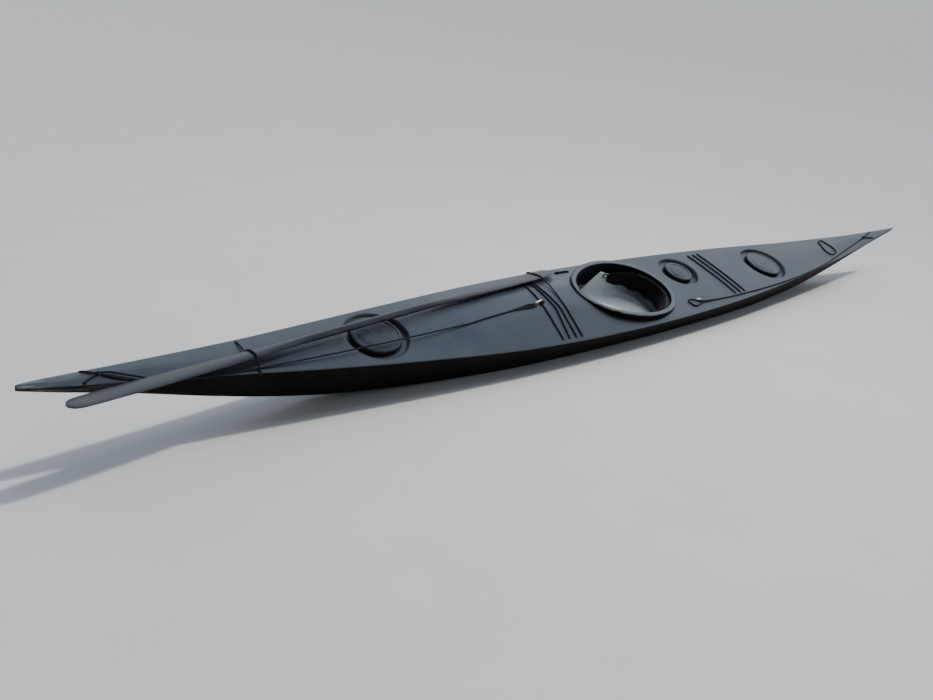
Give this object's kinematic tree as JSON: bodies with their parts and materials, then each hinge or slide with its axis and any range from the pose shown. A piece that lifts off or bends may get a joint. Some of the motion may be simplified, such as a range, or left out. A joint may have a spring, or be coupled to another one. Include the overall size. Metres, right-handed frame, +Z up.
{
  "type": "greenland kayak",
  "caption": "Long narrow hard-chined sea kayak with an egg-shaped cockpit, round hatches, deck lines, a drop skeg and a narrow-bladed paddle stowed on its foredeck.",
  "frame": {"origin": "on the ground under the middle of the boat's footprint, as it lies ashore on its port bottom panel", "axes": "+X towards the bow, +Y to port, +Z up from the ground; the boat's own upright leans 18 degrees towards +Y"},
  "size_m": [5.45, 0.4876, 0.321],
  "materials": {
    "black_moulding": "satin gelcoat over laminate, charcoal black",
    "black_rubber": "matte",
    "grey_moulding": "painted laminate, pale grey-green",
    "black_pad": "woven nylon over foam",
    "rail_metal": "anodised",
    "black_plastic": "matte",
    "pale_plastic": "matte, off-white",
    "paddle_black": "satin laminate",
    "black_cord": "braided"
  },
  "bodies": {
    "boat": {"deck_aft": "black_moulding", "deck_middle": "black_moulding", "deck_fore": "black_moulding", "hull_stern": "black_moulding", "hull_rear_hold": "black_moulding", "hull_day_hold": "black_moulding", "hull_seat": "black_moulding", "hull_legs": "black_moulding", "hull_front_hold": "black_moulding", "hull_bow": "black_moulding", "cockpit_coaming": "black_moulding", "front_hatch_rim": "black_rubber", "front_hatch_cover": "black_rubber", "day_hatch_rim": "black_rubber", "rear_hatch_rim": "black_rubber", "seat_pan": "grey_moulding", "back_band": "black_pad", "front_bulkhead": "grey_moulding", "cockpit_bulkhead": "grey_moulding", "rear_bulkhead": "grey_moulding", "foot_rail_port": "rail_metal", "foot_pedal_port": "black_plastic", "foot_rail_starboard": "rail_metal", "foot_pedal_starboard": "black_plastic", "skeg_box": "grey_moulding", "skeg_slider_tray": "black_plastic", "skeg_slider_knob": "pale_plastic", "greenland_paddle": "paddle_black", "fore_cross_line_a": "black_cord", "fore_cross_line_b": "black_cord", "fore_cross_line_c": "black_cord", "fore_cross_line_d": "black_cord", "blade_line": "black_cord", "aft_cross_line_a": "black_cord", "aft_cross_line_b": "black_cord", "aft_cross_line_c": "black_cord", "bow_fork_line": "black_cord", "fore_side_line": "black_cord", "stern_fork_line": "black_cord", "aft_side_line": "black_cord", "stern_loop_line": "black_cord", "fore_line_fitting": "pale_plastic", "aft_line_fitting": "pale_plastic", "aft_line_ring": "black_rubber"},
    "day_cover": {"day_hatch_cover": "black_rubber"},
    "rear_cover": {"rear_hatch_cover": "black_rubber"},
    "skeg": {"skeg": "black_plastic"}
  },
  "joints": [
    {"name": "day_cover_lift", "type": "slide", "parent": "boat", "child": "day_cover", "axis": [0, 0.309, 0.9511], "range_m": [0, 0.15]},
    {"name": "rear_cover_lift", "type": "slide", "parent": "boat", "child": "rear_cover", "axis": [0, 0.309, 0.9511], "range_m": [0, 0.15]},
    {"name": "skeg_drop", "type": "hinge", "parent": "boat", "child": "skeg", "pos_m": [-1.6, -0.05127, 0.0456], "axis": [0, -0.9511, 0.309], "range_deg": [0, 50]}
  ]
}
